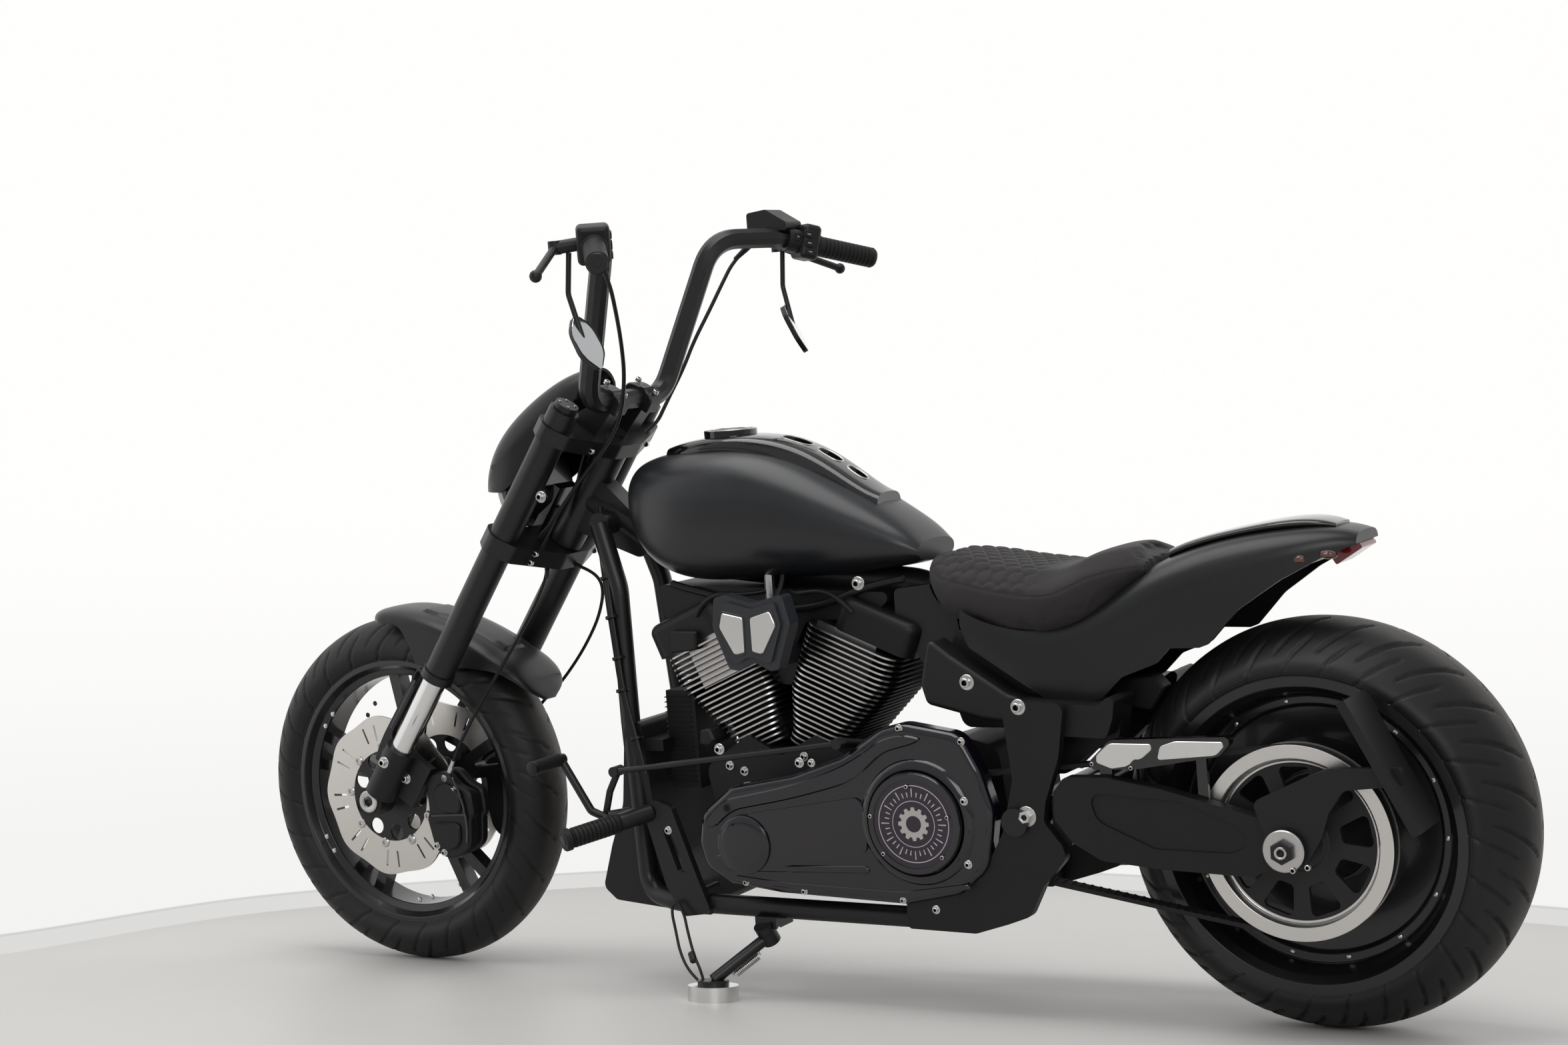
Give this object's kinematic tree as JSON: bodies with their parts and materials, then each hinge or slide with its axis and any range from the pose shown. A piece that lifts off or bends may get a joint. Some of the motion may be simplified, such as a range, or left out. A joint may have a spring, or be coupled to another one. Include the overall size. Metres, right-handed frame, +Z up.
{
  "type": "chopper motorcycle",
  "caption": "Long, low V-twin chopper motorcycle with a raked fork, tall bars, a very wide rear tyre and belt drive, leaning on its side stand.",
  "frame": {"origin": "on the floor under the middle of the leaning motorcycle's outline", "axes": "+X ahead, +Y to the rider's left, +Z up"},
  "size_m": [2.3998, 0.992, 1.3838],
  "materials": {
    "black_plastic": "matt black",
    "bright_metal": "machined",
    "cord": "black cord",
    "gloss_black": "gloss black paint",
    "lamp": "black lamp with a clear lens",
    "lens": "dark red lens",
    "rubber": "matt",
    "satin_black": "satin black paint",
    "seat_cover": "dark suede-like leather",
    "steel": "brushed",
    "tyre": "matt"
  },
  "bodies": {
    "chassis": {"air_cleaner": "satin_black", "belt_guard": "black_plastic", "cam_cover": "satin_black", "chin_spoiler": "black_plastic", "clutch_cover": "gloss_black", "cylinders": "satin_black", "drive_belt": "rubber", "engine_case": "satin_black", "exhaust": "satin_black", "foot_controls": "satin_black", "frame_backbone": "satin_black", "frame_plates": "gloss_black", "frame_rails": "satin_black", "fuel_cap": "gloss_black", "fuel_tank": "satin_black", "horn_cover": "satin_black", "oil_tank": "black_plastic", "plate_holder": "black_plastic", "primary_cover": "gloss_black", "rear_axle": "steel", "rear_caliper": "satin_black", "regulator": "satin_black", "rocker_covers": "gloss_black", "seat": "seat_cover", "shift_linkage": "satin_black", "side_covers": "black_plastic", "swingarm_arms": "satin_black", "swingarm_bridge": "satin_black", "tail_lamp": "lens", "tail_pad": "gloss_black", "tail_section": "black_plastic", "tank_console": "gloss_black"},
    "steering": {"fork_outers": "satin_black", "fork_stanchions": "bright_metal", "fork_bottoms": "satin_black", "lower_clamp": "satin_black", "upper_clamp": "satin_black", "handlebar": "satin_black", "grips": "rubber", "hand_controls": "black_plastic", "mirrors": "satin_black", "headlamp": "lamp", "cowl": "black_plastic", "front_fender": "black_plastic", "front_calipers": "satin_black", "front_axle": "steel", "control_cables": "rubber"},
    "front_wheel": {"front_tyre": "tyre", "front_rim": "satin_black", "front_discs": "steel"},
    "rear_wheel": {"rear_tyre": "tyre", "rear_rim": "satin_black", "rear_pulley": "satin_black", "rear_disc": "steel"},
    "side_stand": {"stand_leg": "satin_black", "stand_spring": "steel", "stand_puck": "bright_metal", "stand_lanyard": "cord"}
  },
  "joints": [
    {"name": "steering", "type": "hinge", "parent": "chassis", "child": "steering", "pos_m": [0.44903, -0.05602, 0.83871], "axis": [-0.5736, 0.1164, 0.8108], "range_deg": [-30, 30]},
    {"name": "front_wheel_spin", "type": "hinge", "parent": "steering", "child": "front_wheel", "pos_m": [0.876, -0.13029, 0.3214], "axis": [0, 0.9899, -0.1421], "continuous": true},
    {"name": "rear_wheel_spin", "type": "hinge", "parent": "chassis", "child": "rear_wheel", "pos_m": [-0.884, -0.13131, 0.31432], "axis": [0, 0.9899, -0.1421], "continuous": true},
    {"name": "side_stand_fold", "type": "hinge", "parent": "chassis", "child": "side_stand", "pos_m": [0.036, -0.00022, 0.10153], "axis": [0.1624, 0.6028, 0.7812], "range_deg": [0, 96]}
  ]
}
